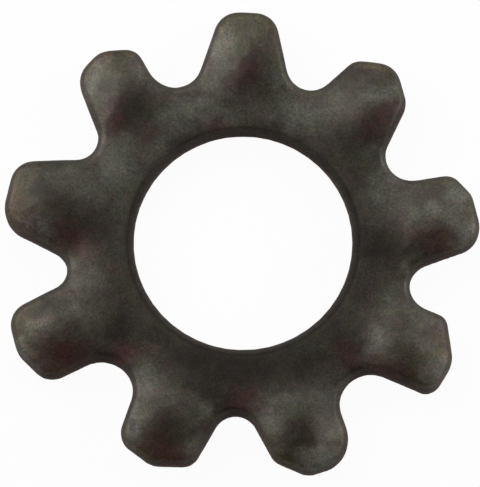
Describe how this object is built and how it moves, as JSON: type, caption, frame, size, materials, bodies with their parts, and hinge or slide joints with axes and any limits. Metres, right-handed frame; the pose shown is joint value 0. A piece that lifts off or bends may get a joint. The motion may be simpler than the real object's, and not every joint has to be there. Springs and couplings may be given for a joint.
{
  "type": "toothed lock washer",
  "caption": "Worn steel lock washer with a round bore and rounded, twisted and cupped teeth round its outer edge.",
  "frame": {"origin": "on the bore's axis, in the plane of the ring's lower seat", "axes": "+Z along the bore axis, out of the face that the teeth rise towards; +Y through the middle of one tooth"},
  "size_m": [0.0094, 0.0094, 0.0009],
  "materials": {
    "steel": "blackened spring steel, worn dull, with brown rust in the hollows"
  },
  "bodies": {
    "root": {"lock_washer": "steel"}
  },
  "joints": []
}
